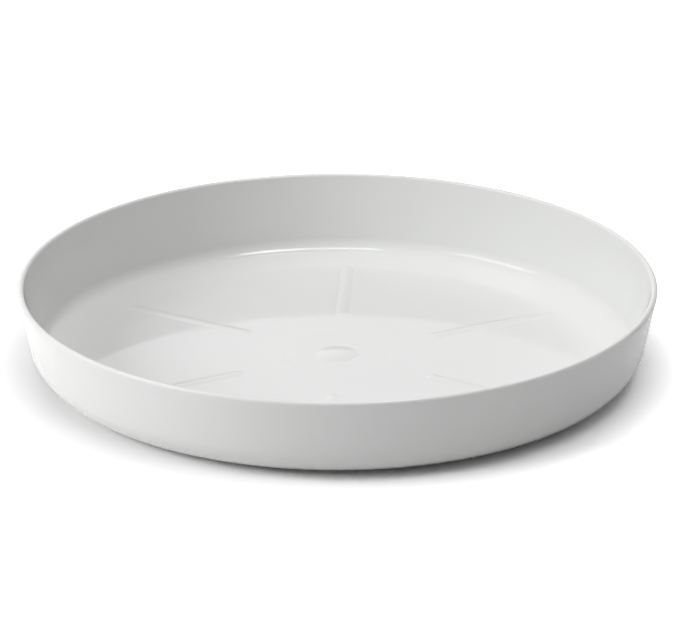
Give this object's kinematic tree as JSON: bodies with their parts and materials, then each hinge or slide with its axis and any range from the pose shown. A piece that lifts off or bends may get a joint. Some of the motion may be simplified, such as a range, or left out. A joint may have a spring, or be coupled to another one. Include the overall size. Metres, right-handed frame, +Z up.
{
  "type": "plant saucer",
  "caption": "Round shallow plant saucer with a leaning wall, a rounded lower corner and low radial ribs that hold a flower pot clear of its run-off water.",
  "frame": {"origin": "on the dish's axis, in the plane that its foot ring stands on", "axes": "+Z up along the dish's axis, +Y along one of the ribs"},
  "size_m": [0.25, 0.25, 0.035],
  "materials": {
    "saucer_plastic": "moulded gloss, near-white polypropylene"
  },
  "bodies": {
    "root": {"saucer": "saucer_plastic"}
  },
  "joints": []
}
